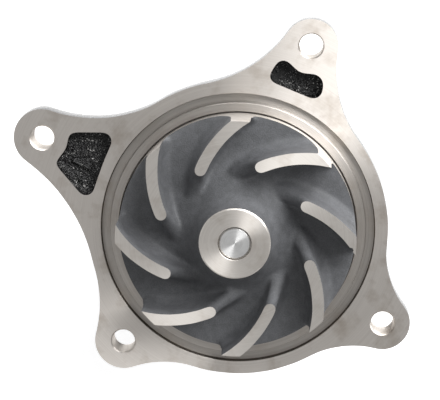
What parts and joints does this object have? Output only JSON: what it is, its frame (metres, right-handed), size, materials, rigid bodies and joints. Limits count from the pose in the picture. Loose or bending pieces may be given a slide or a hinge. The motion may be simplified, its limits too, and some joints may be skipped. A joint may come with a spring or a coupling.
{
  "type": "engine coolant pump",
  "caption": "Flange-mounted engine coolant pump cartridge with an open curved-vane impeller, a face seal, an integral shaft bearing and a pulley hub.",
  "frame": {"origin": "where the shaft's axis crosses the machined mounting face", "axes": "+Z along the shaft from the pulley hub to the impeller; +X and +Y lie in the mounting face, with the two widest-spread ears on the +Y side"},
  "size_m": [0.1695, 0.154, 0.1174],
  "materials": {
    "cast_iron_housing": "face-milled bare iron on the mounting face, black paint on the cast surfaces",
    "impeller_iron": "dark coated casting with turned vane tips, rim and hub face",
    "bearing_steel": "ground",
    "hub_steel": "turned and lightly oiled",
    "spring_steel": "drawn wire",
    "seal_brass": "drawn sheet",
    "seal_rubber": "moulded, matt",
    "carbon": "lapped carbon graphite",
    "ceramic": "lapped alumina",
    "cage_nylon": "moulded glass-filled nylon"
  },
  "bodies": {
    "housing": {"housing": "cast_iron_housing", "bearing_outer_ring": "bearing_steel", "bearing_seal_inner": "seal_rubber", "bearing_seal_outer": "seal_rubber", "bearing_circlip": "spring_steel", "seal_cup": "seal_brass", "seal_ferrule": "seal_brass", "seal_bellows": "seal_rubber", "seal_band": "seal_brass", "seal_spring": "spring_steel", "carbon_ring": "carbon"},
    "rotor": {"shaft": "bearing_steel", "slinger": "seal_rubber", "mating_ring": "ceramic", "mating_boot": "seal_rubber", "impeller": "impeller_iron", "pulley_hub": "hub_steel"},
    "ball_set": {"bearing_balls": "bearing_steel", "ball_cage": "cage_nylon"},
    "roller_set": {"bearing_rollers": "bearing_steel", "roller_cage": "cage_nylon"}
  },
  "joints": [
    {"name": "shaft_spin", "type": "hinge", "parent": "housing", "child": "rotor", "pos_m": [0, 0, 0], "axis": [0, 0, 1], "continuous": true},
    {"name": "ball_set_spin", "type": "hinge", "parent": "housing", "child": "ball_set", "pos_m": [0, 0, 0], "axis": [0, 0, 1], "continuous": true},
    {"name": "roller_set_spin", "type": "hinge", "parent": "housing", "child": "roller_set", "pos_m": [0, 0, 0], "axis": [0, 0, 1], "continuous": true}
  ],
  "couplings": [
    {"joint": "ball_set_spin", "follows": "shaft_spin", "ratio": 0.3257},
    {"joint": "roller_set_spin", "follows": "shaft_spin", "ratio": 0.3475}
  ]
}
